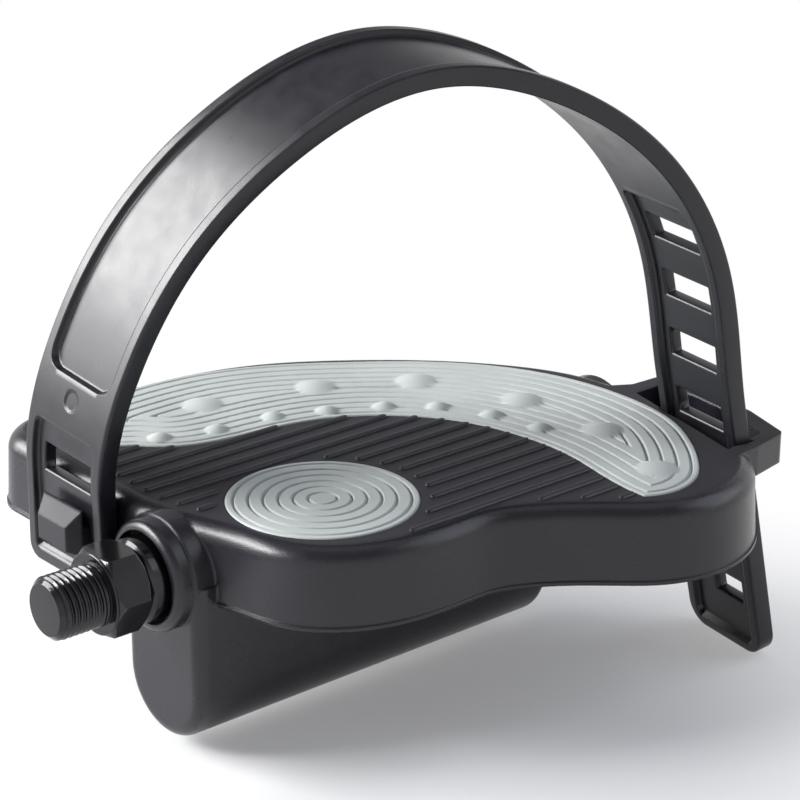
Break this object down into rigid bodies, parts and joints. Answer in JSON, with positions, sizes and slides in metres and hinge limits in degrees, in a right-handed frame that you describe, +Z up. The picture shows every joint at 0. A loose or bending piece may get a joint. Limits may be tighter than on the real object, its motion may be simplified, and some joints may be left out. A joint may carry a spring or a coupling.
{
  "type": "exercise bike pedal",
  "caption": "Wide platform pedal with a weighted keel that keeps it upright, soft grip inserts, a bearing spindle with a screw thread and an adjustable moulded foot strap.",
  "frame": {"origin": "centre of the spindle's shoulder, where its thread starts, on the axle line", "axes": "+X outboard along the axle, away from the crank; +Y towards the toe; +Z up with the platform level"},
  "size_m": [0.1557, 0.127, 0.1349],
  "materials": {
    "body_plastic": "fine satin grain",
    "tread_rubber": "soft satin",
    "strap_rubber": "satin sheen",
    "black_steel": "glossy black oxide",
    "bearing_steel": "ground",
    "plain_steel": "zinc plated",
    "cap_plastic": "satin",
    "weight_iron": "bare"
  },
  "bodies": {
    "spindle": {"spindle": "black_steel", "outer_cone": "bearing_steel", "lock_washer": "plain_steel", "lock_nut": "plain_steel"},
    "pedal": {"pedal_body": "body_plastic", "toe_tread": "tread_rubber", "heel_tread": "tread_rubber", "strap": "strap_rubber", "inner_cup": "bearing_steel", "inner_balls": "bearing_steel", "outer_cup": "bearing_steel", "outer_balls": "bearing_steel", "dust_cap": "cap_plastic", "counterweight": "weight_iron", "keel_plug": "cap_plastic"}
  },
  "joints": [
    {"name": "pedal_spin", "type": "hinge", "parent": "spindle", "child": "pedal", "pos_m": [0, 0, 0], "axis": [1, 0, 0], "continuous": true}
  ]
}
